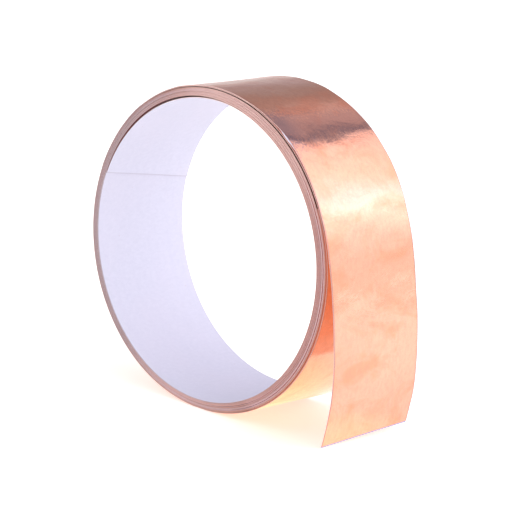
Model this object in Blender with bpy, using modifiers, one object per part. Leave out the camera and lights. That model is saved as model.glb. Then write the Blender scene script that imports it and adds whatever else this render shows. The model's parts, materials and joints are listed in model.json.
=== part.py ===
"""Roll of copper foil tape, wound without a core, with its outer end hanging to the ground.

The tape is a laminate of three strips: copper foil on the outside, an adhesive film under it, and
a release liner on the inside.  The roll's axis runs along Y and +Z is up.  The roll stands on
the ground at z = 0, and the origin is the point of that ground straight below the roll's axis, half
way across the tape's width.  Seen from -Y the tape winds clockwise as it goes outward.

Three places can flex.  The outer end (the tail) is a chain of short lengths hinged to each other,
the inner end is two lengths that can lift off the wrap behind them, and the last stretch of foil
can peel off its liner.  Every length is three solids: foil, adhesive and liner.
"""

from math import cos, hypot, pi, radians, sin

import bpy

# Driving dimensions, in metres and degrees.
TAPE_WIDTH = 0.030
FOIL = 0.000035
ADHESIVE = 0.000030
LINER = 0.000070
PLY_GAP = 0.000008          # clearance left between two plies of the laminate
PITCH = 0.000160            # one wrap to the next where the roll is tight

INNER_RADIUS = 0.0381       # mean radius of the bore: the roll was wound on a 3 inch mandrel
OVAL = 0.0103               # share by which the bore is out of round
OVAL_ANGLE = -28.5          # direction in which the bore is widest
SEAM_ANGLE = 170.32         # where the inner end lies, counted from +X towards +Z
STEP = 9.0                  # the wraps are drawn with one point every STEP degrees
WOUND_ANGLE = 12 * 360 + 153.0  # whole steps of tape, from its inner end to the tail

SLACK = 0.00205             # how much looser the wraps lie on the side of the tail
SLACK_CENTRE = 9.5
SLACK_ABOVE = 165.0         # reach of the slack over the top, degrees
SLACK_BELOW = 125.0         # reach of the slack towards the ground
SAG = 0.00078               # how much further the wraps hang low on the side of the tail
SAG_CENTRE = -52.0
SAG_REACH = 50.0

INNER_LIFT = 0.00042        # how far the inner end bows away from the wrap behind it
INNER_LIFT_CENTRE = 46.0    # angle of tape from its very end to the middle of the bow
INNER_LIFT_REACH = 42.0
OUTER_LIFT = 0.00010        # how far the last wrap stands off near the tail
OUTER_LIFT_REACH = 90.0

INNER_LENGTHS = (           # the flexible lengths at the inner end: name, start and end
    ("inner_flap", 36.0, 63.0),
    ("inner_tip", 0.0, 36.0),
)

TAIL_STEP = 11.78           # angle that each length of the tail covers when it lies on the roll
TAIL_CLEARANCE = 0.00040    # between the roll and the hinges of the closed tail
TAIL_OPENINGS = (2.8, 7.6, 9.2, 7.2, 6.0, 4.8)  # each hinge, from lying on the roll to hanging
TAIL_LENGTHS = len(TAIL_OPENINGS)
TAB_SHARE = 0.72            # share of the last length whose foil can peel off the liner

CUT = 0.00030               # gap between two lengths that are hinged to each other
TAB_CUT = 0.00020

AXIS_MARK = 0.010           # drawn size of the empty on the roll's axis
HINGE_MARK = 0.003          # drawn size of the empties on the hinges

PLIES = (                   # name, thickness and offset from the liner's inner face
    ("liner", LINER, 0.0),
    ("adhesive", ADHESIVE, LINER + PLY_GAP),
    ("foil", FOIL, LINER + ADHESIVE + 2 * PLY_GAP),
)
STACK = LINER + ADHESIVE + FOIL + 2 * PLY_GAP


def bump(offset, reach):
    """A smooth hill, 1 at offset 0 and 0 beyond the reach."""
    return cos(radians(90.0 * offset / reach)) ** 2 if abs(offset) < reach else 0.0


def slack(theta):
    """Extra looseness of the whole band of wraps at one angle around the roll."""
    offset = (theta - SLACK_CENTRE + 180.0) % 360.0 - 180.0
    loose = SLACK * bump(offset, SLACK_ABOVE if offset > 0 else SLACK_BELOW)
    return loose + SAG * bump(offset + SLACK_CENTRE - SAG_CENTRE, SAG_REACH)


def wrap_radius(wound):
    """Radius of the liner's inner face after an angle of tape, counted from the inner end."""
    theta = SEAM_ANGLE - wound
    radius = INNER_RADIUS * (1 + OVAL * cos(2 * radians(theta - OVAL_ANGLE)))
    radius += PITCH * wound / 360.0
    radius += slack(theta) * wound / WOUND_ANGLE
    radius -= INNER_LIFT * bump(wound - INNER_LIFT_CENTRE, INNER_LIFT_REACH)
    radius += OUTER_LIFT * bump(WOUND_ANGLE - wound, OUTER_LIFT_REACH)
    return radius


def around(theta, radius):
    """The (x, z) point at an angle and a radius, counted from the roll's axis."""
    return (radius * cos(radians(theta)), radius * sin(radians(theta)))


def axis_height():
    """Height of the roll's axis above the ground, from the lowest corner of the last wrap."""
    return -min(z for _, z in wrap_points(WOUND_ANGLE - 360.0, WOUND_ANGLE, STACK))


def turned(vector, angle):
    """A vector in (x, z) turned from -Z towards +X, which is outward for the tail."""
    c, s = cos(radians(angle)), sin(radians(angle))
    return (vector[0] * c - vector[1] * s, vector[0] * s + vector[1] * c)


def moved(start, end, distance):
    """The point at a distance from start on the way to end."""
    share = distance / hypot(end[0] - start[0], end[1] - start[1])
    return (start[0] + (end[0] - start[0]) * share, start[1] + (end[1] - start[1]) * share)


def trimmed(points, at_start, at_end):
    """A polyline shortened at its two ends."""
    first = moved(points[0], points[1], at_start)
    last = moved(points[-1], points[-2], at_end)
    return [first] + points[1:-1] + [last]


def wrap_points(start, end, offset):
    """The spiral from one wound angle to another, at an offset outside the liner's inner face."""
    angles = [start + STEP * i for i in range(round((end - start) / STEP) + 1)]
    return [around(SEAM_ANGLE - a, wrap_radius(a) + offset) for a in angles]


def closed_hinges():
    """The tail's hinge points when it lies on the roll: one more than there are lengths."""
    points = []
    for i in range(TAIL_LENGTHS + 1):
        under = WOUND_ANGLE + TAIL_STEP * i - 360.0
        radius = wrap_radius(under) + STACK + TAIL_CLEARANCE
        points.append(around(SEAM_ANGLE - under, radius))
    return points


def tail_hinges():
    """The tail's hinge points at rest, each hinge opened by its own angle."""
    closed = closed_hinges()
    rest = [closed[0]]
    for i in range(TAIL_LENGTHS):
        step = (closed[i + 1][0] - closed[i][0], closed[i + 1][1] - closed[i][1])
        step = turned(step, sum(TAIL_OPENINGS[: i + 1]))
        rest.append((rest[i][0] + step[0], rest[i][1] + step[1]))
    return rest


def straight_points(start, end, offset):
    """A straight length of tape whose mid thickness runs from start to end."""
    length = hypot(end[0] - start[0], end[1] - start[1])
    outward = (-(end[1] - start[1]) / length, (end[0] - start[0]) / length)
    shift = offset - STACK / 2
    return [(p[0] + outward[0] * shift, p[1] + outward[1] * shift) for p in (start, end)]


def material(name, color, metallic, roughness):
    """A plain Principled material."""
    made = bpy.data.materials.new(name)
    made.use_nodes = True
    shader = made.node_tree.nodes["Principled BSDF"]
    shader.inputs["Base Color"].default_value = (*color, 1.0)
    shader.inputs["Metallic"].default_value = metallic
    shader.inputs["Roughness"].default_value = roughness
    return made


def axis_empty(collection):
    """The empty on the roll's axis, which everything hangs from."""
    empty = bpy.data.objects.new("roll_axis", None)
    collection.objects.link(empty)
    empty.empty_display_size = AXIS_MARK
    empty.location = (0.0, 0.0, axis_height())
    empty["place"] = (0.0, 0.0)
    return empty


def hinge_empty(name, point, parent, collection):
    """An empty on a hinge line, which the pieces beyond that hinge hang from."""
    empty = bpy.data.objects.new(name, None)
    collection.objects.link(empty)
    empty.empty_display_size = HINGE_MARK
    origin = parent["place"]
    empty.parent = parent
    empty.location = (point[0] - origin[0], 0.0, point[1] - origin[1])
    empty["place"] = point
    return empty


def strip(name, points, thickness, finish, parent, collection):
    """One ply: a ribbon along the points, as wide as the tape, thickened outward."""
    curve = bpy.data.curves.new(name, "CURVE")
    curve.dimensions = "2D"
    curve.fill_mode = "NONE"
    curve.extrude = TAPE_WIDTH / 2
    spline = curve.splines.new("POLY")
    spline.points.add(len(points) - 1)
    origin = parent["place"]
    for place, (x, z) in zip(spline.points, points):
        place.co = (x - origin[0], z - origin[1], 0.0, 1.0)
    piece = bpy.data.objects.new(name, curve)
    piece.data.materials.append(finish)
    piece.parent = parent
    piece.rotation_euler = (pi / 2, 0.0, 0.0)
    solidify = piece.modifiers.new("thickness", "SOLIDIFY")
    solidify.thickness = thickness
    solidify.offset = 1.0
    solidify.use_even_offset = True
    collection.objects.link(piece)
    return piece


def laminate(name, line, finishes, parent, collection, plies=PLIES):
    """The plies of one length of tape; line(offset) gives the points of a ply's inner face."""
    for ply, thickness, offset in plies:
        strip(f"{name}_{ply}", line(offset), thickness, finishes[ply], parent, collection)


def wound_roll(finishes, axis, collection):
    """The fixed wraps, from the inner end's hinge to the tail's hinge."""
    start = INNER_LENGTHS[0][2]

    def line(offset):
        return trimmed(wrap_points(start, WOUND_ANGLE, offset), CUT / 2, CUT / 2)

    laminate("wound", line, finishes, axis, collection)


def inner_end(finishes, axis, collection):
    """The free inner end: lengths hinged at their outer ends, the last one ending at the seam."""
    parent = axis
    for name, start, end in INNER_LENGTHS:
        pivot = around(SEAM_ANGLE - end, wrap_radius(end) + STACK / 2)
        parent = hinge_empty(f"{name}_hinge", pivot, parent, collection)

        def line(offset, start=start, end=end):
            return trimmed(wrap_points(start, end, offset), CUT / 2 if start else 0.0, CUT / 2)

        laminate(name, line, finishes, parent, collection)


def tail(finishes, axis, collection):
    """The hanging outer end, length by length, and the stretch of foil that peels."""
    hinges = tail_hinges()
    parent = axis
    for i in range(TAIL_LENGTHS):
        name = f"tail_{i + 1}"
        start, end = hinges[i], hinges[i + 1]
        last = i == TAIL_LENGTHS - 1
        parent = hinge_empty(f"{name}_hinge", start, parent, collection)

        def line(offset, start=start, end=end, last=last):
            return trimmed(straight_points(start, end, offset), CUT / 2, 0.0 if last else CUT / 2)

        laminate(name, line, finishes, parent, collection, PLIES[:1] if last else PLIES)
    peeling_end(hinges[-2], hinges[-1], finishes, parent, collection)


def peeling_end(start, end, finishes, parent, collection):
    """The last length's foil and adhesive: a stretch that stays down and a tab that peels."""
    length = hypot(end[0] - start[0], end[1] - start[1])
    split = moved(start, end, length * (1 - TAB_SHARE))

    def stays(offset):
        return trimmed(straight_points(start, split, offset), CUT / 2, TAB_CUT / 2)

    def peels(offset):
        return trimmed(straight_points(split, end, offset), TAB_CUT / 2, 0.0)

    laminate(f"tail_{TAIL_LENGTHS}", stays, finishes, parent, collection, PLIES[1:])
    pivot = straight_points(split, end, STACK)[0]
    tab = hinge_empty("pull_tab_hinge", pivot, parent, collection)
    laminate("pull_tab", peels, finishes, tab, collection, PLIES[1:])


def clear_scene():
    """Remove every object, so that the script can be run again in the same file."""
    for old in list(bpy.data.objects):
        bpy.data.objects.remove(old, do_unlink=True)


def build():
    """Build the whole roll in its own collection."""
    clear_scene()
    collection = bpy.data.collections.new("copper_foil_tape_roll")
    bpy.context.scene.collection.children.link(collection)
    finishes = {
        "foil": material("copper_foil", (0.93, 0.60, 0.47), 1.0, 0.24),
        "adhesive": material("acrylic_adhesive", (0.86, 0.84, 0.80), 0.0, 0.35),
        "liner": material("release_liner", (0.86, 0.84, 0.93), 0.0, 0.62),
    }
    axis = axis_empty(collection)
    wound_roll(finishes, axis, collection)
    inner_end(finishes, axis, collection)
    tail(finishes, axis, collection)


build()
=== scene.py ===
"""The looks of a roll of copper foil tape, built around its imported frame.

The tape is one long strip of three plies: copper foil outside, an adhesive film under it and a paper
release liner inside.  Every piece here is a stretch of one ply, cut out of one path that starts at
the tape's inner end, runs round the roll twelve and a half times and goes down the hanging tail.

A place along the path is an angle t in degrees, counted from the inner end.  A place across the tape
is v, from -0.5 at the near edge (-Y) to 0.5 at the far edge.  Lengths are in metres.
"""

import json
from math import cos, pi, radians, sin

import bpy
import numpy as np
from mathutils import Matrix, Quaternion, Vector


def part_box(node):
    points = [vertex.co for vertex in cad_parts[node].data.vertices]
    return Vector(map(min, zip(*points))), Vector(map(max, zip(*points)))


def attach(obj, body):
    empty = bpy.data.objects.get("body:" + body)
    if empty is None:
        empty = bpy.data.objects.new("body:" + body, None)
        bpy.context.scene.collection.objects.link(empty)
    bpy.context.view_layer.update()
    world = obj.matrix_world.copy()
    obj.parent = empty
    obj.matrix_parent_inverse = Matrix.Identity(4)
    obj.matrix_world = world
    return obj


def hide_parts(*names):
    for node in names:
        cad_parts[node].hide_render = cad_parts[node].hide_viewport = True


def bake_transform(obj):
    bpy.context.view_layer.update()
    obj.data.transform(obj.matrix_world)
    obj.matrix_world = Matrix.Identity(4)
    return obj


# The laminate and the law of its winding, as in the frame.
TAPE_WIDTH = 0.030
FOIL = 0.000035
ADHESIVE = 0.000030
LINER = 0.000070
PLY_GAP = 0.000008
STACK = LINER + ADHESIVE + FOIL + 2 * PLY_GAP
PITCH = 0.000160
INNER_RADIUS = 0.0381
OVAL = 0.0103
OVAL_ANGLE = -28.5
SEAM_ANGLE = 170.32
LAST_TURN = 12 * 360.0          # place where the last turn starts
WOUND_ANGLE = LAST_TURN + 153.0
SLACK = 0.00205
SLACK_CENTRE = 9.5
SLACK_ABOVE = 165.0
SLACK_BELOW = 125.0
INNER_LIFT = 0.00042            # how far the loose inner end stands into the bore
INNER_LIFT_CENTRE = 46.0
INNER_LIFT_REACH = 42.0
INNER_LIFT_POWER = 0.6          # below 1, this gives the lift a flatter top and steeper ends
OUTER_LIFT = 0.00010
OUTER_LIFT_REACH = 90.0
INNER_HINGES = (63.0, 36.0)     # places of the inner end's two hinges
TAIL_STEP = 11.78               # angle of tape in one length of the tail
TAIL_LENGTHS = 6
TAB_SHARE = 0.72                # share of the last length whose foil peels
TAIL_END = WOUND_ANGLE + TAIL_STEP * TAIL_LENGTHS
INNER_CUT = (6.8, -6.6)         # place of the inner end half way across, and its slant to the far edge
TAIL_SLANT = -2.3               # the tail's end is cut aslant too, in degrees of tape

# How each turn shares in the slack, inner turn first.  On the side of the tail the turns lie in
# groups with gaps between them, and above it, over the top of the roll, they lie evenly.
TURN_SHARES = (0.05, 0.12, 0.17, 0.22, 0.35, 0.39, 0.43, 0.47, 0.60, 0.64, 0.68, 0.79, 1.0)
UPPER_SHARES = (0.05, 0.13, 0.20, 0.27, 0.34, 0.41, 0.48, 0.55, 0.62, 0.68, 0.75, 0.93, 1.0)
UPPER_START = (8.0, 45.0)       # angles above the slack's centre where the upper shares take over
UPPER_END = (160.0, 120.0)      # and where they let go again
TURN_START = 321.0              # place in a turn where there is no slack to share
LOOSE_TURN = 11                 # this turn springs away from the ones inside it
LOOSE_LIFT = 0.00028
LOOSE_CENTRE = -12.0
LOOSE_REACH = 68.0
SAG = 0.00078                   # further slack, low on the side of the tail
SAG_CENTRE = -52.0
SAG_REACH = 50.0

# The tail's smooth curve begins with points on the roll.  They start this far back and lie this
# far apart, and the spiral passes into the curve over a stretch that ends at the last of them.
LEAD = 90.0
LEAD_STEP = 18.0
LEAVE_REACH = 30.0

PEEL_REACH = 5.0                # angle of tape after the tab's start, for a point on the path that is computed but not used

# Shape of the outermost turn and of the tail.
WAVES = (                       # height, degrees of tape per wave, waves across, phase
    (0.000034, 23.0, 0.6, 0.4),
    (0.000020, 13.0, -1.1, 2.1),
    (0.000009, 7.3, 1.7, 4.0),
)
WAVES_START = WOUND_ANGLE - 177.0
WAVES_FULL = WOUND_ANGLE - 117.0
BULGE_ANGLE = 51.0              # where the near edge of the last turn bulges
BULGE_PLACE = LAST_TURN + SEAM_ANGLE - BULGE_ANGLE
BULGE_HEIGHT = 0.00042
BULGE_REACH = 13.0
BULGE_WIDTH = 0.30
SLIVER_OUT = 0.00050            # how far the liner sticks out sideways at the bulge
SLIVER_REACH = 5.5
END_SETBACK = 0.50              # angle of tape by which the foil ends before the liner
WANDER = (                      # shift along Y, degrees of its wave per degree of tape, phase
    (0.00005, 0.37, 0.0),
    (0.00004, 0.91, 50.0),
)

PLIES = {                       # offset of the inner face from the mid thickness, and thickness
    "liner": (-STACK / 2, LINER),
    "adhesive": (-STACK / 2 + LINER + PLY_GAP, ADHESIVE),
    "foil": (STACK / 2 - FOIL, FOIL),
}
INSIDE = 5.0                    # shift of a ply's inner face across the texture map

# Stretches of the roll, and how finely each is divided: degrees of tape per row, faces across.
INNER_WRAP_END = 414.0
OUTER_WRAP_LENGTH = 372.0
FINE_ACROSS = {"liner": 20, "adhesive": 20, "foil": 40}
INNER_END_GRID = (0.9, 6)
INNER_WRAP_GRID = (1.0, 6)
HIDDEN_GRID = (2.0, 1)
OUTER_WRAP_STEP = 0.6
TAIL_GRID_STEP = 0.5
TAIL_END_STEP = 0.4

# Camera, round a point near the roll's middle.
CAMERA_AZIMUTH = 43.77
CAMERA_ELEVATION = 12.90
CAMERA_ROLL = 3.44
CAMERA_DISTANCE = 0.69931
CAMERA_AIM = (0.00249, 0.00144, 0.03722)
CAMERA_FIELD = 10.504           # degrees across the picture
SENSOR = 36.0


# ---------------------------------------------------------------- shape of the tape

def bump(offset, reach):
    """A smooth hill, 1 at offset 0 and 0 beyond the reach."""
    inside = np.abs(offset) < reach
    return np.where(inside, np.cos(np.radians(90.0 * offset / reach)) ** 2, 0.0)


def rise(value, start, end):
    """A smooth step from 0 at start to 1 at end."""
    share = np.clip((value - start) / (end - start), 0.0, 1.0)
    return share * share * (3 - 2 * share)


def from_angle(theta, centre):
    """Signed difference between two angles, in degrees."""
    return (theta - centre + 180.0) % 360.0 - 180.0


def wrap_radius(t):
    """Radius of the tape's mid thickness while it is on the roll."""
    theta = SEAM_ANGLE - t
    turn = np.clip(((t + 360.0 - TURN_START) // 360.0).astype(int), 0, len(TURN_SHARES) - 1)
    offset = from_angle(theta, SLACK_CENTRE)
    slack = SLACK * bump(offset, np.where(offset > 0, SLACK_ABOVE, SLACK_BELOW))
    radius = INNER_RADIUS * (1 + OVAL * np.cos(2 * np.radians(theta - OVAL_ANGLE))) + PITCH * t / 360.0
    slack += SAG * bump(from_angle(theta, SAG_CENTRE), SAG_REACH)
    upper = rise(offset, *UPPER_START) * rise(-offset, -UPPER_END[0], -UPPER_END[1])
    shares = np.array(TURN_SHARES)[turn] * (1 - upper) + np.array(UPPER_SHARES)[turn] * upper
    radius += slack * shares
    radius += (turn == LOOSE_TURN) * LOOSE_LIFT * bump(from_angle(theta, LOOSE_CENTRE), LOOSE_REACH)
    radius -= INNER_LIFT * bump(t - INNER_LIFT_CENTRE, INNER_LIFT_REACH) ** INNER_LIFT_POWER
    radius += OUTER_LIFT * bump(WOUND_ANGLE - t, OUTER_LIFT_REACH)
    return radius + STACK / 2


def spiral(t):
    """Points (x, z) of the mid thickness on the roll, from the roll's axis."""
    theta = np.radians(SEAM_ANGLE - t)
    radius = wrap_radius(t)
    return np.stack([radius * np.cos(theta), radius * np.sin(theta)], axis=-1)


def joint_places(joints, height):
    """Each joint's (x, z) from the roll's axis."""
    return {j["name"]: np.array([j["pos_m"][0], j["pos_m"][2] - height]) for j in joints}


def axis_height(joints):
    """Height of the roll's axis, from the frame's joint on the inner end."""
    hinge = next(j for j in joints if j["name"] == "inner_end_lift")
    theta = np.radians(SEAM_ANGLE - INNER_HINGES[0])
    radius = hinge["pos_m"][0] / np.cos(theta)
    return hinge["pos_m"][2] - radius * np.sin(theta)


def curve_bends(knots, points):
    """Second derivatives, at the knots, of the natural cubic curve through the points."""
    count = len(knots)
    step = np.diff(knots)
    matrix = np.eye(count)
    right = np.zeros((count, 2))
    for i in range(1, count - 1):
        matrix[i, i - 1 : i + 2] = step[i - 1], 2 * (step[i - 1] + step[i]), step[i]
        after = (points[i + 1] - points[i]) / step[i]
        before = (points[i] - points[i - 1]) / step[i - 1]
        right[i] = 6 * (after - before)
    return np.linalg.solve(matrix, right)


class TapePath:
    """The mid thickness of the tape from its inner end to the end of the tail."""

    def __init__(self, joints):
        self.height = axis_height(joints)
        places = joint_places(joints, self.height)
        low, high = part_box(f"tail_{TAIL_LENGTHS}_liner")
        end = np.array([low.x + STACK / 2, low.z - self.height])
        hinges = [places[f"tail_bend_{k}"] for k in range(2, TAIL_LENGTHS + 1)]
        lead = WOUND_ANGLE - np.arange(LEAD, 0.0, -LEAD_STEP)
        self.leave = lead[-1]
        self.knots = np.concatenate([lead, WOUND_ANGLE + TAIL_STEP * np.arange(1, TAIL_LENGTHS + 1)])
        self.points = np.concatenate([spiral(lead), hinges, [end]])
        self.bends = curve_bends(self.knots, self.points)

    def tail(self, t):
        """Points on the smooth curve through the tail's hinges."""
        i = np.clip(np.searchsorted(self.knots, t) - 1, 0, len(self.knots) - 2)
        step = (self.knots[i + 1] - self.knots[i])[..., None]
        b = (t - self.knots[i])[..., None] / step
        a = 1 - b
        bend = (a**3 - a) * self.bends[i] + (b**3 - b) * self.bends[i + 1]
        return a * self.points[i] + b * self.points[i + 1] + bend * step**2 / 6

    def at(self, t):
        """Points (x, z) at places t."""
        share = rise(t, self.leave - LEAVE_REACH, self.leave)[..., None]
        return spiral(t) * (1 - share) + self.tail(t) * share

    def outward(self, t):
        """Unit vectors (x, z) that point away from the roll."""
        reach = 0.05
        along = self.at(t + reach) - self.at(t - reach)
        along /= np.linalg.norm(along, axis=-1, keepdims=True)
        return np.stack([-along[..., 1], along[..., 0]], axis=-1)


def relief(t, v):
    """How far the tape stands off its path: soft waves, and the bulge of the near edge."""
    total = np.zeros(np.broadcast(t, v).shape)
    for height, length, across, phase in WAVES:
        total += height * np.sin(2 * pi * (t / length + across * v) + phase)
    total *= rise(t, WAVES_START, WAVES_FULL)
    lean = np.cos(np.radians(90.0 * np.clip((v + 0.5) / BULGE_WIDTH, 0.0, 1.0))) ** 2
    return total + BULGE_HEIGHT * bump(t - BULGE_PLACE, BULGE_REACH) * lean


def sideways(t, ply):
    """How far one ply is shifted along Y: the wraps don't lie quite in one plane."""
    shift = sum(size * np.sin(np.radians(rate * t + phase)) for size, rate, phase in WANDER)
    if ply == "liner":
        shift = shift - SLIVER_OUT * bump(t - BULGE_PLACE, SLIVER_REACH)
    return shift


def surface(path, t, v, offset, ply):
    """Points of the tape at places t and v, an offset outside the mid thickness."""
    t, v = np.broadcast_arrays(t, v)
    centre = path.at(t)
    outward = path.outward(t)
    place = centre + outward * (offset + relief(t, v))[..., None]
    near = bump(v + 0.5, 0.5) if ply == "liner" else 1.0
    y = v * TAPE_WIDTH + sideways(t, "") + (sideways(t, ply) - sideways(t, "")) * near
    return np.stack([place[..., 0], y, place[..., 1] + path.height], axis=-1)


def surface_normals(path, t, v, offset, ply):
    """Unit normals that point away from the roll, by differences of the surface."""
    turn, side = 0.1, 0.004     # small steps along the tape, in degrees, and across it
    along = surface(path, t + turn, v, offset, ply) - surface(path, t - turn, v, offset, ply)
    across = surface(path, t, v + side, offset, ply) - surface(path, t, v - side, offset, ply)
    normal = np.cross(along, across)
    return normal / np.linalg.norm(normal, axis=-1, keepdims=True)


# ---------------------------------------------------------------- meshes

def grid_faces(first, rows, columns, flip):
    """Corner indices of the quads of a grid of points, counted from first."""
    index = first + np.arange(rows * columns).reshape(rows, columns)
    quads = np.stack([index[:-1, :-1], index[1:, :-1], index[1:, 1:], index[:-1, 1:]], axis=-1)
    quads = quads.reshape(-1, 4)
    return quads[:, ::-1] if flip else quads


def strip_faces(a, b):
    """Quads between two rows of point indices."""
    return np.stack([a[:-1], a[1:], b[1:], b[:-1]], axis=-1)


def ribbon(path, finishes, name, ply, span, grid, slants=(0.0, 0.0)):
    """One closed stretch of one ply, with its true normals, so that stretches join without a line."""
    start, end = span
    step, columns = grid
    rows = max(2, round((end - start) / step)) + 1
    v = np.linspace(-0.5, 0.5, columns + 1)[None, :]
    share = np.linspace(0.0, 1.0, rows)[:, None]
    t = start + (end - start) * share + v * (slants[0] * (1 - share) + slants[1] * share)
    inner, thickness = PLIES[ply]
    columns += 1
    count = rows * columns
    outer_points = surface(path, t, v, inner + thickness, ply).reshape(-1, 3)
    inner_points = surface(path, t, v, inner, ply).reshape(-1, 3)
    points = np.concatenate([outer_points, inner_points])
    normals = surface_normals(path, t, v, inner, ply).reshape(-1, 3)

    outer_index = np.arange(count).reshape(rows, columns)
    inner_index = outer_index + count
    faces = [
        grid_faces(0, rows, columns, False),
        grid_faces(count, rows, columns, True),
        strip_faces(inner_index[:, 0], outer_index[:, 0]),
        strip_faces(outer_index[:, -1], inner_index[:, -1]),
        strip_faces(inner_index[0, ::-1], outer_index[0, ::-1]),
        strip_faces(inner_index[-1], outer_index[-1]),
    ]
    on_face = np.concatenate([np.full(len(f), i) for i, f in enumerate(faces)])
    quads = np.concatenate(faces)

    mesh = bpy.data.meshes.new(name)
    mesh.vertices.add(len(points))
    mesh.vertices.foreach_set("co", points.astype(np.float32).ravel())
    mesh.loops.add(quads.size)
    mesh.loops.foreach_set("vertex_index", quads.astype(np.int32).ravel())
    mesh.polygons.add(len(quads))
    mesh.polygons.foreach_set("loop_start", np.arange(0, quads.size, 4, dtype=np.int32))
    is_edge = on_face > 1
    mesh.polygons.foreach_set("material_index", is_edge.astype(np.int32))
    mesh.update(calc_edges=True)

    along = np.radians(t).ravel() * INNER_RADIUS / TAPE_WIDTH
    places = np.stack([along, np.tile(v[0], rows)], axis=-1)
    places = np.concatenate([places, places + (0.0, INSIDE)])
    layer = mesh.uv_layers.new(name="tape")
    layer.data.foreach_set("uv", places[quads.ravel()].astype(np.float32).ravel())

    mesh.polygons.foreach_set("use_smooth", np.ones(len(quads), dtype=bool))
    flat = np.concatenate([normals, -normals])[quads]
    first, last = path.outward(np.array(start)), path.outward(np.array(end))
    ends = {2: (0, -1, 0), 3: (0, 1, 0), 4: (-first[1], 0, first[0]), 5: (last[1], 0, -last[0])}
    for face, direction in ends.items():
        flat[on_face == face] = direction
    mesh.normals_split_custom_set(flat.reshape(-1, 3).tolist())
    mesh.validate()

    for finish in finishes[ply]:
        mesh.materials.append(finish)
    piece = bpy.data.objects.new(name, mesh)
    bpy.context.scene.collection.objects.link(piece)
    return piece


# ---------------------------------------------------------------- materials

def linear(red, green, blue):
    """A colour given as 0-255 display values, as the linear values that shaders take."""
    values = []
    for value in (red, green, blue):
        value /= 255
        values.append(value / 12.92 if value <= 0.04045 else ((value + 0.055) / 1.055) ** 2.4)
    return (*values, 1.0)


# Foil: four tones of its face, a painted dark reflection, scratches and darker slit edges on it, and the
# two tones of its cut edge.
COPPER = (0.87, 0.430, 0.305, 1.0)
LIGHT_COPPER = (0.90, 0.475, 0.340, 1.0)
RED_COPPER = (0.88, 0.355, 0.220, 1.0)
BROWN_COPPER = (0.66, 0.300, 0.235, 1.0)
DARK_REFLECTION_TONE = (0.40, 0.250, 0.255, 1.0)
SCRATCH = (0.92, 0.58, 0.46, 1.0)
DARKER_EDGE_TONE = (0.40, 0.22, 0.22, 1.0)
EDGE_DARKENING_PLACES = (WOUND_ANGLE - 30.0, WOUND_ANGLE + 20.0)
EDGE_DARKENING_SHARES = (0.5, 0.85)       # how dark the slit edges are made, at the first place and at the second
BROWN_SLIT = (0.42, 0.190, 0.150, 1.0)
BRIGHT_SLIT = (0.92, 0.480, 0.330, 1.0)

# Liner: the tones of its face, the painted shade in its margins between wraps, the shade at its seam and
# the bare end.
PAPER = (0.668, 0.668, 0.785, 1.0)
PALE_PAPER = (0.708, 0.706, 0.820, 1.0)
STREAKED_PAPER = (0.645, 0.640, 0.770, 1.0)
CLOUDED_PAPER = (0.760, 0.715, 0.825, 1.0)
COPPER_SPECK = (0.62, 0.50, 0.52, 1.0)
PAINTED_GAP_SHADE = (0.26, 0.060, 0.055, 1.0)
SEAM_TONE = (0.46, 0.42, 0.50, 1.0)
BARE_LINER = (0.40, 0.38, 0.64, 1.0)

# Adhesive: two tones of the film, and two of its cut edge.
CLEAR_FILM = (0.74, 0.66, 0.58, 1.0)
MILKY_FILM = (0.82, 0.75, 0.68, 1.0)
BROWN_FILM_EDGE = (0.42, 0.240, 0.215, 1.0)
PINK_FILM_EDGE = (0.78, 0.60, 0.59, 1.0)

# Cut edges: painted shade on the side away from the tail, painted light high on the tail's side.  Each
# tone fades in from the first place to the second, along X or Z.
PAINTED_SHADE_TONE = linear(138, 122, 126)
PAINTED_SHADE_SIDE = (-0.010, -0.028)
PAINTED_LIGHT_TONE = linear(255, 218, 208)
PAINTED_LIGHT_SIDE = (-0.016, 0.002)
PAINTED_LIGHT_HEIGHT = (0.052, 0.068)

# Painted dark reflection on the last turn, as a mottled band across the tape that narrows towards the
# far edge.
DARK_REFLECTION_ANGLE = 56.0
DARK_REFLECTION_PLACE = LAST_TURN + SEAM_ANGLE - DARK_REFLECTION_ANGLE
DARK_REFLECTION_REACH = 12.0
DARK_REFLECTION_NARROWS = 0.6

MIX_SHARE, MIX_FIRST, MIX_SECOND, MIX_RESULT = 0, 6, 7, 2  # sockets of a Mix node for colours


def add_node(tree, kind, **settings):
    """A new node with its settings."""
    made = tree.nodes.new(kind)
    for key, value in settings.items():
        setattr(made, key, value)
    return made


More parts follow.
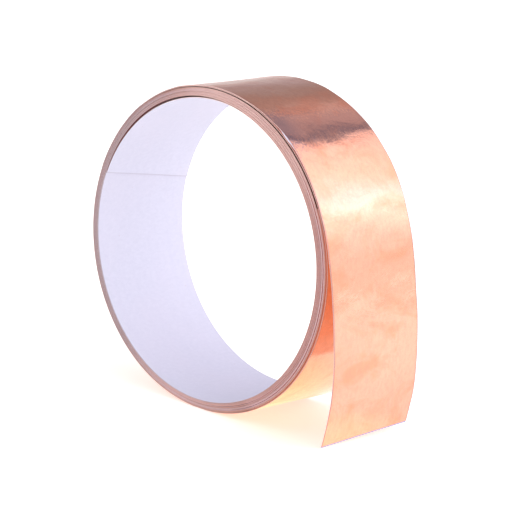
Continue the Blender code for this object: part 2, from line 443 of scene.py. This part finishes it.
class Shader:
    """A material's node tree, with short ways to add the nodes used here."""

    def __init__(self, name):
        self.material = bpy.data.materials.new(name)
        self.material.use_nodes = True
        self.tree = self.material.node_tree
        self.surface = self.tree.nodes["Principled BSDF"]
        self.place = self.add("ShaderNodeUVMap").outputs["UV"]

    def add(self, kind, **settings):
        """A new node in this material."""
        return add_node(self.tree, kind, **settings)

    def put(self, socket, value):
        """Link a socket to another, or give it a value."""
        if isinstance(value, bpy.types.NodeSocket):
            self.tree.links.new(value, socket)
        else:
            socket.default_value = value

    def math(self, operation, *values):
        """The result of a Math node."""
        made = self.add("ShaderNodeMath", operation=operation)
        for socket, value in zip(made.inputs, values):
            self.put(socket, value)
        return made.outputs[0]

    def scaled(self, along, across, shift=(0.0, 0.0, 0.0), turn=0.0):
        """The place on the tape, stretched and turned, for a texture to read."""
        made = self.add("ShaderNodeMapping")
        self.put(made.inputs["Vector"], self.place)
        made.inputs["Location"].default_value = shift
        made.inputs["Rotation"].default_value = (0.0, 0.0, turn)
        made.inputs["Scale"].default_value = (along, across, 1.0)
        return made.outputs["Vector"]

    def noise(self, along, across, detail=2.0, roughness=0.5, distortion=0.0, shift=0.0, turn=0.0):
        """Soft noise, 0 to 1, with so many features per tape width."""
        made = self.add("ShaderNodeTexNoise")
        vector = self.scaled(along, across, (shift, 2.7 * shift, 1.3 * shift), turn)
        self.put(made.inputs["Vector"], vector)
        made.inputs["Scale"].default_value = 1.0
        made.inputs["Detail"].default_value = detail
        made.inputs["Roughness"].default_value = roughness
        made.inputs["Distortion"].default_value = distortion
        return made.outputs["Fac"]

    def ranged(self, value, low, high, to_low=0.0, to_high=1.0):
        """A value mapped from one range to another, held at its ends."""
        made = self.add("ShaderNodeMapRange", clamp=True)
        for socket, given in zip(made.inputs, (value, low, high, to_low, to_high)):
            self.put(socket, given)
        return made.outputs["Result"]

    def mixed(self, share, first, second):
        """Two colours mixed."""
        made = self.add("ShaderNodeMix", data_type="RGBA")
        self.put(made.inputs[MIX_SHARE], share)
        self.put(made.inputs[MIX_FIRST], first)
        self.put(made.inputs[MIX_SECOND], second)
        return made.outputs[MIX_RESULT]

    def bumped(self, height, distance, normal=None):
        """A normal from a height, whose full range is a distance in metres."""
        made = self.add("ShaderNodeBump")
        self.put(made.inputs["Height"], height)
        made.inputs["Distance"].default_value = distance
        if normal is not None:
            self.put(made.inputs["Normal"], normal)
        return made.outputs["Normal"]

    def turned(self):
        """The place along the tape, in degrees."""
        split = self.add("ShaderNodeSeparateXYZ")
        self.put(split.inputs[0], self.place)
        return self.math("MULTIPLY", split.outputs["X"], np.degrees(TAPE_WIDTH / INNER_RADIUS))

    def across(self):
        """The place across the tape: -0.5 at the near edge to 0.5 at the far edge."""
        split = self.add("ShaderNodeSeparateXYZ")
        self.put(split.inputs[0], self.place)
        inside = self.math("GREATER_THAN", split.outputs["Y"], INSIDE / 2)
        return self.math("SUBTRACT", split.outputs["Y"], self.math("MULTIPLY", inside, INSIDE))

    def painted_dark_reflection(self):
        """Where the last turn has a painted dark reflection: a ragged band across, broader towards the
        near edge.
        """
        off = self.math("ABSOLUTE", self.math("SUBTRACT", self.turned(), DARK_REFLECTION_PLACE))
        reach = self.ranged(self.across(), -0.5, 0.05, DARK_REFLECTION_REACH, DARK_REFLECTION_NARROWS * DARK_REFLECTION_REACH)
        mottle = self.noise(9.0, 14.0, detail=5.0, roughness=0.75, distortion=0.6, shift=13.0)
        speckle = self.noise(48.0, 64.0, detail=2.0, roughness=0.7, shift=17.0)
        speckle = self.math("MULTIPLY", speckle, 2.2)
        inside = self.math("SUBTRACT", 0.05, self.math("DIVIDE", off, reach))
        return self.ranged(self.math("ADD", self.math("ADD", inside, mottle), speckle), 0.65, 1.25)

    def by_turn(self, colors):
        """One colour for each turn of the roll, fading into the next one along the tape."""
        ramp = self.add("ShaderNodeValToRGB")
        self.put(ramp.inputs[0], self.math("DIVIDE", self.turned(), 360.0 * (len(colors) - 1)))
        stops = ramp.color_ramp.elements
        stops[0].color, stops[1].color = colors[0], colors[-1]
        for i, color in enumerate(colors[1:-1], 1):
            stops.new(i / (len(colors) - 1)).color = color
        return ramp.outputs["Color"]

    def around(self, color, grey, pale):
        """A cut edge's colour, with painted shade on the side away from the tail and painted light high
        on the tail's side.
        """
        where = self.add("ShaderNodeSeparateXYZ")
        self.put(where.inputs[0], self.add("ShaderNodeTexCoord").outputs["Object"])
        color = self.mixed(self.ranged(where.outputs["X"], *PAINTED_SHADE_SIDE, 0.0, grey), color, PAINTED_SHADE_TONE)
        over = self.ranged(where.outputs["X"], *PAINTED_LIGHT_SIDE, 0.0, pale)
        high = self.ranged(where.outputs["Z"], *PAINTED_LIGHT_HEIGHT)
        return self.mixed(self.math("MULTIPLY", over, high), color, PAINTED_LIGHT_TONE)

    def set(self, **values):
        """Values or links for the surface's inputs."""
        for key, value in values.items():
            self.put(self.surface.inputs[key.replace("_", " ")], value)
        return self.material


def copper_foil():
    """Rolled copper foil: mottled, smoothed by hand, lightly scratched, darker at its slit edges, with a
    painted dark reflection on the last turn.
    """
    s = Shader("copper_foil")
    cloud = s.noise(1.3, 0.9, detail=3.0, distortion=0.4)
    patch = s.noise(3.5, 2.2, detail=4.0, roughness=0.6, distortion=0.8, shift=4.0)
    grain = s.noise(26.0, 34.0, detail=4.0, roughness=0.7, shift=11.0)
    rolled = s.noise(0.35, 70.0, detail=3.0, shift=9.0)
    dents = s.noise(5.5, 4.2, detail=4.0, roughness=0.62, distortion=0.5, shift=2.0)
    hair_one = s.ranged(s.noise(1.6, 75.0, detail=3.0, distortion=0.5, shift=5.0, turn=0.25), 0.66, 0.74)
    hair_two = s.ranged(s.noise(80.0, 1.8, detail=3.0, distortion=0.5, shift=7.0, turn=0.12), 0.68, 0.76)
    hair = s.math("MAXIMUM", hair_one, hair_two)
    edge = s.ranged(s.math("ABSOLUTE", s.across()), 0.484, 0.5)

    color = s.mixed(s.ranged(cloud, 0.35, 0.65), COPPER, LIGHT_COPPER)
    color = s.mixed(s.ranged(patch, 0.47, 0.66, 0.0, 0.85), color, RED_COPPER)
    color = s.mixed(s.ranged(grain, 0.40, 0.70, 0.0, 0.35), color, BROWN_COPPER)
    # painted dark reflection: a mottled dark band across the last turn, strongest near the near edge
    painted_dark_reflection = s.painted_dark_reflection()
    strength = s.ranged(s.across(), -0.42, -0.20, 0.92, 0.45)
    color = s.mixed(s.math("MULTIPLY", painted_dark_reflection, strength), color, DARK_REFLECTION_TONE)
    color = s.mixed(s.math("MULTIPLY", hair, 0.15), color, SCRATCH)
    # the face is darker at its slit edges, more towards the tail
    edge_darkening = s.ranged(s.turned(), *EDGE_DARKENING_PLACES, *EDGE_DARKENING_SHARES)
    color = s.mixed(s.math("MULTIPLY", edge, edge_darkening), color, DARKER_EDGE_TONE)

    roughness = s.ranged(patch, 0.3, 0.75, 0.10, 0.22)
    roughness = s.math("ADD", roughness, s.ranged(rolled, 0.3, 0.7, -0.02, 0.03))
    roughness = s.math("ADD", roughness, s.math("MULTIPLY", hair, 0.08))
    normal = s.bumped(dents, 0.00010)
    normal = s.bumped(grain, 0.000010, normal)
    normal = s.bumped(rolled, 0.0000012, normal)
    normal = s.bumped(hair, -0.0000008, normal)
    return s.set(Base_Color=color, Metallic=1.0, Roughness=roughness, Normal=normal)


def slit_copper():
    """The foil's cut edge: bright here and there, with brown stains elsewhere; painted shade away from
    the tail, painted light high on the tail's side.
    """
    s = Shader("slit_copper")
    stain = s.noise(0.22, 3.0, detail=3.0)
    color = s.mixed(s.ranged(stain, 0.42, 0.58), BROWN_SLIT, BRIGHT_SLIT)
    # painted shade on the side away from the tail, painted light high on the tail's side
    color = s.around(color, 0.6, 0.6)
    normal = s.bumped(s.noise(60.0, 60.0, detail=2.0), 0.00001)
    return s.set(Base_Color=color, Metallic=0.6, Roughness=0.45, Normal=normal)


# Light on the liner that only the foil's reflections show.
BOUNCED = (0.44, 0.22, 0.07, 1.0)  # thrown to and fro between foil and liner
SEEPING = (0.24, 0.22, 0.26, 1.0)  # let in between the wraps
GLOW_START = 4097.0             # the gap under the last turn glows too, between these two places
GLOW_END = 4232.0
GLOW_FADE = 25.0
GLOW_SHARE = 0.45
GAP_SHADE_PLACES = ((371.0, 456.0), (3990.0, 4105.0))  # between these places the liner's margins carry painted shade of the gaps between wraps
SEAM_SHADE = 0.4                # angle of tape, next to the cut of the inner end, that is greyer
BARE_MARGIN = 0.02              # the bare liner's colour starts this far under the foil's end


def release_liner():
    """Glazed release paper: a cool white with faint fibres, streaks and a little rubbed-off copper."""
    s = Shader("release_liner")
    fibre = s.noise(34.0, 20.0, detail=4.0, roughness=0.65, distortion=0.6)
    streak = s.noise(0.8, 26.0, detail=3.0, shift=3.0)
    cloud = s.noise(1.1, 1.4, detail=3.0, shift=8.0)
    speck = s.ranged(s.noise(30.0, 26.0, detail=1.0, shift=6.0), 0.77, 0.81)
    color = s.mixed(s.ranged(fibre, 0.35, 0.65), PAPER, PALE_PAPER)
    color = s.mixed(s.ranged(streak, 0.5, 0.75, 0.0, 0.25), color, STREAKED_PAPER)
    color = s.mixed(s.ranged(cloud, 0.4, 0.7, 0.0, 0.3), color, CLOUDED_PAPER)
    color = s.mixed(s.math("MULTIPLY", speck, 0.35), color, COPPER_SPECK)
    # painted shade: dark maroon margins where the gaps between wraps look dark
    margin = s.ranged(s.math("ABSOLUTE", s.across()), 0.465, 0.485)
    gap_shade_stretch = [s.math("COMPARE", s.turned(), (a + b) / 2, (b - a) / 2) for a, b in GAP_SHADE_PLACES]
    gap_shade_stretch = s.math("MAXIMUM", *gap_shade_stretch)
    hidden = s.math("MULTIPLY", margin, gap_shade_stretch)
    color = s.mixed(hidden, color, PAINTED_GAP_SHADE)
    seam_place = s.math("SUBTRACT", s.turned(), s.math("MULTIPLY", s.across(), INNER_CUT[1]))
    seam = s.math("LESS_THAN", seam_place, INNER_CUT[0] + SEAM_SHADE)
    color = s.mixed(s.math("MULTIPLY", seam, 0.4), color, SEAM_TONE)
    tail_place = s.math("SUBTRACT", s.turned(), s.math("MULTIPLY", s.across(), TAIL_SLANT))
    bare = s.math("GREATER_THAN", tail_place, TAIL_END - END_SETBACK - BARE_MARGIN)
    color = s.mixed(bare, color, BARE_LINER)
    normal = s.bumped(fibre, 0.000006)
    normal = s.bumped(streak, 0.000003, normal)
    roughness = s.ranged(fibre, 0.3, 0.7, 0.52, 0.66)
    in_foil = s.add("ShaderNodeLightPath").outputs["Is Glossy Ray"]
    on_tail = s.math("GREATER_THAN", s.turned(), WOUND_ANGLE)
    opens = s.ranged(s.turned(), GLOW_START, GLOW_START + GLOW_FADE)
    closes = s.ranged(s.turned(), GLOW_END, GLOW_END - GLOW_FADE)
    in_gap = s.math("MULTIPLY", s.math("MINIMUM", opens, closes), GLOW_SHARE)
    warm = s.math("MAXIMUM", on_tail, in_gap)
    in_wraps = s.math("GREATER_THAN", s.turned(), GAP_SHADE_PLACES[0][1])
    seeping = s.math("MULTIPLY", in_wraps, s.math("SUBTRACT", 1.0, gap_shade_stretch))
    lit = s.math("MULTIPLY", in_foil, s.math("MAXIMUM", warm, seeping))
    s.set(Emission_Color=s.mixed(warm, SEEPING, BOUNCED), Emission_Strength=lit)
    return s.set(Base_Color=color, Roughness=roughness, Normal=normal, IOR=1.45)


DUSTY_EDGE = linear(150, 98, 86)
CLEAN_EDGE = linear(206, 182, 196)
RUSTY_EDGE = linear(176, 110, 88)
FRESH_EDGE = linear(242, 232, 240)
FRESH_PLACES = (150.0, 60.0)    # the innermost stretch turns this pale from the first to the second
EDGE_TINTS = (                  # display colour of the slit edge, turn by turn from the inside; the darkest turns hold painted shade of the gaps between wraps
    (236, 182, 162), (136, 86, 74), (240, 204, 204), (226, 182, 182), (246, 216, 222), (214, 168, 170),
    (110, 68, 66), (240, 218, 232), (246, 226, 240), (226, 196, 212), (214, 146, 116), (160, 108, 98),
    (246, 214, 212),
)


def slit_liner():
    """The liner's cut edge: paper that has picked up copper dust and adhesive, more in some turns, and
    painted shade of the gaps between wraps in its darkest turns.
    """
    s = Shader("slit_liner")
    # painted shade: the darkest turns stand for the dark gaps between wraps
    color = s.by_turn([linear(*tint) for tint in EDGE_TINTS])
    cloud = s.noise(0.30, 2.0, detail=4.0, roughness=0.65, shift=1.0)
    grain = s.noise(22.0, 8.0, detail=3.0, roughness=0.7, shift=3.0)
    color = s.mixed(s.ranged(cloud, 0.50, 0.66, 0.0, 0.6), color, DUSTY_EDGE)
    color = s.mixed(s.ranged(cloud, 0.46, 0.34, 0.0, 0.5), color, CLEAN_EDGE)
    color = s.mixed(s.ranged(grain, 0.52, 0.70, 0.0, 0.4), color, RUSTY_EDGE)
    color = s.mixed(s.ranged(s.turned(), *FRESH_PLACES), color, FRESH_EDGE)
    # painted shade on the side away from the tail, painted light high on the tail's side
    color = s.around(color, 0.6, 0.75)
    normal = s.bumped(grain, 0.00002)
    return s.set(Base_Color=color, Roughness=0.75, Normal=normal)


def adhesive_film():
    """Pressure-sensitive acrylic: nearly clear, slightly milky, with fine ripples."""
    s = Shader("adhesive_film")
    ripple = s.noise(14.0, 10.0, detail=3.0, distortion=1.2)
    color = s.mixed(s.ranged(ripple, 0.35, 0.65), CLEAR_FILM, MILKY_FILM)
    normal = s.bumped(ripple, 0.00001)
    return s.set(Base_Color=color, Roughness=s.ranged(ripple, 0.3, 0.7, 0.22, 0.38), Normal=normal)


def adhesive_edge():
    """The adhesive's cut edge, grey-pink with dust."""
    s = Shader("adhesive_edge")
    dust = s.noise(0.8, 12.0, detail=3.0)
    color = s.mixed(s.ranged(dust, 0.40, 0.60), BROWN_FILM_EDGE, PINK_FILM_EDGE)
    # painted shade on the side away from the tail, painted light high on the tail's side
    color = s.around(color, 0.6, 0.75)
    return s.set(Base_Color=color, Roughness=0.6, Normal=s.bumped(dust, 0.00001))


def make_finishes():
    """Face and edge materials of each ply."""
    return {
        "foil": (copper_foil(), slit_copper()),
        "adhesive": (adhesive_film(), adhesive_edge()),
        "liner": (release_liner(), slit_liner()),
    }


# ---------------------------------------------------------------- pieces

def wound_pieces(path, finishes):
    """The wraps that stay on the roll."""
    start = INNER_HINGES[0] + (INNER_HINGES[0] - INNER_HINGES[1]) / 2
    first = (start, INNER_WRAP_END)
    last = (WOUND_ANGLE - OUTER_WRAP_LENGTH, WOUND_ANGLE - TAIL_STEP / 2)
    hidden = (("wraps", (start, last[0]), HIDDEN_GRID),)
    stretches = {
        "liner": (
            ("inner_wrap", first, INNER_WRAP_GRID),
            ("middle_wraps", (INNER_WRAP_END, last[0]), HIDDEN_GRID),
        ),
        "adhesive": hidden,
        "foil": hidden,
    }
    for ply in PLIES:
        outer = ("outer_wrap", last, (OUTER_WRAP_STEP, FINE_ACROSS[ply]))
        for name, span, grid in (*stretches[ply], outer):
            piece = ribbon(path, finishes, f"roll_{name}_{ply}", ply, span, grid)
            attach(piece, "roll")
            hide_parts(f"wound_{ply}")


def point_at(path, t):
    """The path's point in the frame."""
    x, z = path.at(np.array(t))
    return (x, 0.0, z + path.height)


def inner_end_pieces(path, finishes):
    """The loose inner end: a piece across each of its two hinges, and its tip, which is attached to the
    tip's body.
    """
    half = (INNER_HINGES[0] - INNER_HINGES[1]) / 2
    bodies = ("roll", "inner_flap", "inner_tip")
    for ply in PLIES:
        for name, hinge, before, after in zip(("bend", "flap"), INNER_HINGES, bodies, bodies[1:]):
            span = (hinge - half, hinge + half)
            piece = ribbon(path, finishes, f"inner_end_{name}_{ply}", ply, span, INNER_END_GRID)
            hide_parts(f"inner_flap_{ply}")
            point_at(path, span[1])
            point_at(path, span[0])
            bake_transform(piece)
        start, slant = INNER_CUT
        span = (start, INNER_HINGES[1] - half)
        tip = ribbon(path, finishes, f"inner_end_tip_{ply}", ply, span, INNER_END_GRID, (slant, 0.0))
        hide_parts(f"inner_tip_{ply}")
        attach(tip, "inner_tip")


def tail_pieces(path, finishes):
    """The hanging end, in pieces that run along a smooth curve from one length's middle to the next
    one's.
    """
    half = TAIL_STEP / 2
    split = TAIL_STEP * (1 - TAB_SHARE)
    last = f"tail_{TAIL_LENGTHS}"
    for ply in PLIES:
        grid = (TAIL_GRID_STEP, FINE_ACROSS[ply])
        for k in range(1, TAIL_LENGTHS + 1):
            hinge = WOUND_ANGLE + TAIL_STEP * (k - 1)
            reach = split if k == TAIL_LENGTHS else half
            span = (hinge - half, hinge + reach)
            piece = ribbon(path, finishes, f"tail_{k}_{ply}_bend", ply, span, grid)
            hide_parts(f"tail_{k}_{ply}")
            ends = point_at(path, hinge - reach), point_at(path, hinge + reach)
            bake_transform(piece)
        start = TAIL_END - TAIL_STEP * TAB_SHARE
        span = (start, TAIL_END - (0.0 if ply == "liner" else END_SETBACK))
        grid = (TAIL_END_STEP, FINE_ACROSS[ply])
        piece = ribbon(path, finishes, f"tail_end_{ply}", ply, span, grid, (0.0, TAIL_SLANT))
        if ply == "liner":
            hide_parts(f"{last}_liner")
            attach(piece, last)
        else:
            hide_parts(f"pull_tab_{ply}")
            point_at(path, start)
            point_at(path, start + PEEL_REACH)
            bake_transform(piece)


# ---------------------------------------------------------------- floor, light and camera

FLOOR_SIZE = 2.4
FLOOR_GLOW = 0.56
PALE = (0.90, 0.89, 0.86, 1.0)
WARM = (0.88, 0.79, 0.70, 1.0)  # the floor where the foil throws light on it
YELLOW = (0.85, 1.00, 0.62, 1.0)  # that place in the foil's reflection
WARM_PLACE = (0.026, -0.008, 0.0)
WARM_REACH = 0.033
WARM_POWER = 0.7                # below 1, the warm place stays strong further out
WARM_GLOW = 0.5                 # extra light of the warm place, as the foil shows it
FLOOR_SIDES = 64
BRIGHTEST = 3.0                 # the sky's colours are stored as shares of this
SKY = (                         # degrees round the Y axis from +X over the top, and the colour there
    (0.0, (1.25, 1.25, 1.22)),
    (9.0, (1.32, 1.30, 1.30)),
    (16.0, (1.52, 1.50, 1.56)),
    (22.0, (1.74, 1.71, 1.76)),
    (28.0, (2.00, 1.95, 2.00)),
    (34.0, (2.75, 2.65, 3.00)),
    (40.0, (2.15, 2.20, 2.60)),
    (46.0, (1.95, 1.90, 2.05)),
    (52.0, (1.80, 1.74, 1.80)),
    (60.0, (1.70, 1.62, 1.62)),
    (67.0, (1.60, 1.52, 1.56)),
    (79.0, (1.50, 1.42, 1.48)),
    (85.0, (1.20, 1.10, 1.15)),
    (88.5, (0.33, 0.35, 0.48)),
    (94.0, (0.32, 0.33, 0.44)),
    (98.0, (0.54, 0.48, 0.53)),
    (100.0, (0.70, 0.60, 0.63)),
    (106.0, (0.76, 0.65, 0.67)),
    (113.0, (0.68, 0.60, 0.64)),
    (122.0, (0.52, 0.44, 0.45)),
    (132.0, (0.42, 0.35, 0.35)),
    (144.0, (0.41, 0.39, 0.41)),
    (154.0, (0.45, 0.43, 0.46)),
    (161.0, (0.51, 0.49, 0.54)),
    (167.0, (0.63, 0.63, 0.66)),
    (172.0, (0.74, 0.76, 0.78)),
    (177.0, (0.80, 0.80, 0.83)),
    (180.0, (0.84, 0.84, 0.86)),
)
FRONT = (0.92, 0.91, 0.94, 1.0)  # the soft light on the near side
FRONT_EDGE = (0.15, -0.35)      # it fades in as the direction's Y goes from the first to the second
BACKDROP = (0.5, 0.5, 0.5, 1.0)  # what the camera itself sees, as shares of the brightest: plain white


def make_floor():
    """A pale seamless floor that glows a little, as on a light table."""
    s = Shader("studio_floor")
    gap = s.add("ShaderNodeVectorMath", operation="DISTANCE")
    s.put(gap.inputs[0], s.add("ShaderNodeTexCoord").outputs["Object"])
    gap.inputs[1].default_value = WARM_PLACE
    warm = s.ranged(gap.outputs["Value"], WARM_REACH, 0.0)
    warm = s.math("POWER", warm, WARM_POWER)
    s.set(Base_Color=s.mixed(warm, PALE, WARM), Roughness=0.5)
    in_foil = s.math("MULTIPLY", s.add("ShaderNodeLightPath").outputs["Is Glossy Ray"], warm)
    glow = s.math("ADD", FLOOR_GLOW, s.math("MULTIPLY", in_foil, WARM_GLOW))
    s.set(Emission_Color=s.mixed(in_foil, s.mixed(warm, PALE, WARM), YELLOW), Emission_Strength=glow)
    bpy.ops.mesh.primitive_circle_add(vertices=FLOOR_SIDES, radius=FLOOR_SIZE / 2, fill_type="NGON")
    floor = bpy.context.object
    floor.name = "studio_floor"
    floor.data.materials.append(s.material)


def make_sky():
    """Soft studio surroundings: pale walls, a bright softbox high on the right and a dark ceiling."""
    world = bpy.data.worlds.new("studio")
    bpy.context.scene.world = world
    world.use_nodes = True
    tree = world.node_tree
    background = tree.nodes["Background"]

    split = add_node(tree, "ShaderNodeSeparateXYZ")
    tree.links.new(add_node(tree, "ShaderNodeTexCoord").outputs["Generated"], split.inputs[0])
    round_y = add_node(tree, "ShaderNodeMath", operation="ARCTAN2")
    tree.links.new(split.outputs["Z"], round_y.inputs[0])
    tree.links.new(split.outputs["X"], round_y.inputs[1])
    share = add_node(tree, "ShaderNodeMapRange")
    share.inputs["From Max"].default_value = pi
    mirrored = add_node(tree, "ShaderNodeMath", operation="ABSOLUTE")
    tree.links.new(round_y.outputs[0], mirrored.inputs[0])
    tree.links.new(mirrored.outputs[0], share.inputs["Value"])
    ramp = add_node(tree, "ShaderNodeValToRGB")
    tree.links.new(share.outputs["Result"], ramp.inputs[0])
    stops = ramp.color_ramp.elements
    for stop, (angle, color) in zip(stops, (SKY[0], SKY[-1])):
        stop.position = angle / 180
        stop.color = (*[c / BRIGHTEST for c in color], 1.0)
    for angle, color in SKY[1:-1]:
        stop = stops.new(angle / 180)
        stop.color = (*[c / BRIGHTEST for c in color], 1.0)

    front = add_node(tree, "ShaderNodeMapRange", interpolation_type="SMOOTHSTEP")
    front.inputs["From Min"].default_value, front.inputs["From Max"].default_value = FRONT_EDGE
    front.inputs["To Max"].default_value = 1.0
    tree.links.new(split.outputs["Y"], front.inputs["Value"])
    mixed = add_node(tree, "ShaderNodeMix", data_type="RGBA")
    mixed.inputs[MIX_SECOND].default_value = [c / BRIGHTEST for c in FRONT]
    tree.links.new(front.outputs["Result"], mixed.inputs[MIX_SHARE])
    tree.links.new(ramp.outputs["Color"], mixed.inputs[MIX_FIRST])
    seen = add_node(tree, "ShaderNodeMix", data_type="RGBA")
    seen.inputs[MIX_SECOND].default_value = BACKDROP
    is_camera = add_node(tree, "ShaderNodeLightPath").outputs["Is Camera Ray"]
    tree.links.new(is_camera, seen.inputs[MIX_SHARE])
    tree.links.new(mixed.outputs[MIX_RESULT], seen.inputs[MIX_FIRST])
    tree.links.new(seen.outputs[MIX_RESULT], background.inputs["Color"])
    background.inputs["Strength"].default_value = BRIGHTEST


def make_camera():
    """A long lens to the right of the bore, a little above the roll."""
    data = bpy.data.cameras.new("camera")
    data.sensor_width = SENSOR
    data.lens = SENSOR / 2 / np.tan(radians(CAMERA_FIELD / 2))
    data.clip_start, data.clip_end = 0.01, 20.0
    camera = bpy.data.objects.new("camera", data)
    bpy.context.scene.collection.objects.link(camera)
    azimuth, elevation = radians(CAMERA_AZIMUTH), radians(CAMERA_ELEVATION)
    back = Vector((sin(azimuth) * cos(elevation), -cos(azimuth) * cos(elevation), sin(elevation)))
    camera.location = Vector(CAMERA_AIM) + back * CAMERA_DISTANCE
    camera.rotation_mode = "QUATERNION"
    turn = Quaternion((0.0, 0.0, 1.0), radians(CAMERA_ROLL))
    camera.rotation_quaternion = (-back).to_track_quat("-Z", "Y") @ turn
    bpy.context.scene.camera = camera


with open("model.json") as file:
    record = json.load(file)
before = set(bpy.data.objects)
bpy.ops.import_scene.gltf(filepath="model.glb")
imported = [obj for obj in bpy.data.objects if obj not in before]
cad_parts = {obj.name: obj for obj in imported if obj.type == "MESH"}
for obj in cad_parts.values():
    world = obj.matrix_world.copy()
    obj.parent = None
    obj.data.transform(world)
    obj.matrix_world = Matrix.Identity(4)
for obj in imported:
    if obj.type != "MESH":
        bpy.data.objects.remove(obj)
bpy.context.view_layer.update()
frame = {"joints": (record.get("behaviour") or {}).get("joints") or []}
tape = TapePath(frame["joints"])
looks = make_finishes()
wound_pieces(tape, looks)
inner_end_pieces(tape, looks)
tail_pieces(tape, looks)
make_floor()
make_sky()
make_camera()
bpy.context.scene.view_settings.view_transform = "Standard"
